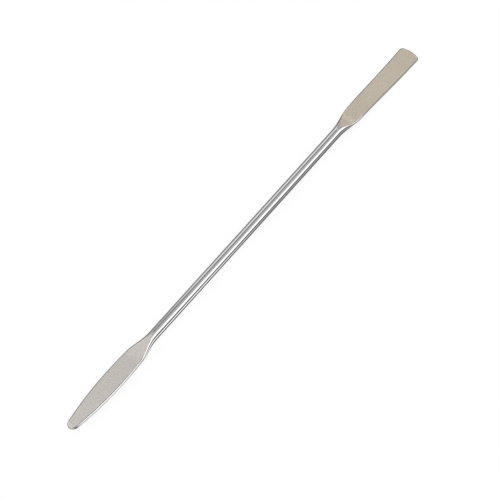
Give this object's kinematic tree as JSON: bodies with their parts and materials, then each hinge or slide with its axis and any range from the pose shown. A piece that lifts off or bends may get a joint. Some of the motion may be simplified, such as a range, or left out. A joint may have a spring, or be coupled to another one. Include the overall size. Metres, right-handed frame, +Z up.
{
  "type": "lab spatula",
  "caption": "Slim stainless steel spatula: a round shank between a round-tipped leaf blade and a square-ended blade, for handling small amounts of powder.",
  "frame": {"origin": "on the surface the spatula lies on, under the middle of its length and width", "axes": "+X along the shank from the leaf blade to the square blade, +Y across the blades, +Z up, out of the blades' upper faces"},
  "size_m": [0.16, 0.0066, 0.0031],
  "materials": {
    "steel": "polished shank, satin blades"
  },
  "bodies": {
    "root": {"spatula": "steel"}
  },
  "joints": []
}
